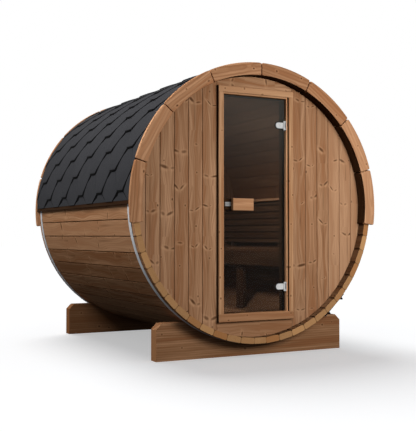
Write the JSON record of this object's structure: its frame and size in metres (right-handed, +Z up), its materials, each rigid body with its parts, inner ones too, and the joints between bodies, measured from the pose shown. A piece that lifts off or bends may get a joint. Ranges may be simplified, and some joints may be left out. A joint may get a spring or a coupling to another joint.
{
  "type": "barrel sauna",
  "caption": "Barrel sauna of wooden staves on two cradles, with boarded end walls, a swinging tinted glass door, a shingled half roof and a slatted bench inside.",
  "frame": {"origin": "on the ground, under the middle of the barrel", "axes": "+Z up, the barrel axis along Y with the door facing -Y, +X to the right seen from the door side"},
  "size_m": [2.06, 2.18, 2.122],
  "materials": {
    "stave_wood": "oiled heat-treated softwood",
    "trim_wood": "oiled softwood, lighter and warmer",
    "wall_wood": "oiled heat-treated softwood boards",
    "frame_wood": "oiled heat-treated softwood",
    "cradle_wood": "oiled heat-treated softwood",
    "eave_wood": "dark stained softwood",
    "shingle": "mineral granules on bitumen felt",
    "band_steel": "galvanised",
    "black_steel": "black oxide",
    "hinge_steel": "satin",
    "inside_wood": "planed heat-treated softwood",
    "handle_wood": "sanded softwood",
    "door_glass": "bronze tinted toughened glass"
  },
  "bodies": {
    "cabin": {"staves_bottom": "stave_wood", "staves_lower_left": "stave_wood", "staves_left": "stave_wood", "staves_upper_left": "stave_wood", "staves_top": "stave_wood", "staves_upper_right": "stave_wood", "staves_right": "stave_wood", "staves_lower_right": "stave_wood", "trim_front_left": "trim_wood", "trim_front_right": "trim_wood", "trim_back_left": "trim_wood", "trim_back_right": "trim_wood", "front_wall_left": "wall_wood", "front_wall_right": "wall_wood", "front_wall_head": "wall_wood", "front_wall_sill": "wall_wood", "back_wall": "wall_wood", "door_jamb_left": "frame_wood", "door_jamb_right": "frame_wood", "door_head": "frame_wood", "door_sill": "frame_wood", "door_stops": "frame_wood", "cradle_front": "cradle_wood", "cradle_back": "cradle_wood", "roof_boards_left": "eave_wood", "roof_boards_right": "eave_wood", "eave_batten_left": "eave_wood", "eave_batten_right": "eave_wood", "shingles_left": "shingle", "shingles_right": "shingle", "band_front": "band_steel", "band_back": "band_steel", "tensioner_front": "black_steel", "tensioner_back": "black_steel", "hinge_plates": "hinge_steel", "floor_boards": "inside_wood", "floor_joists": "inside_wood", "bench_seat": "inside_wood", "bench_apron": "inside_wood", "bench_leg": "inside_wood", "bench_bearers": "inside_wood", "backrest_slats": "inside_wood", "backrest_cap": "inside_wood", "backrest_posts": "inside_wood"},
    "door": {"door_glass": "door_glass", "hinge_clamps": "hinge_steel", "handle_outside": "handle_wood", "handle_inside": "handle_wood", "handle_catch": "hinge_steel"}
  },
  "joints": [
    {"name": "door_swing", "type": "hinge", "parent": "cabin", "child": "door", "pos_m": [0.2565, -0.9893, 1.09206], "axis": [0, 0, 1], "range_deg": [0, 110]}
  ]
}
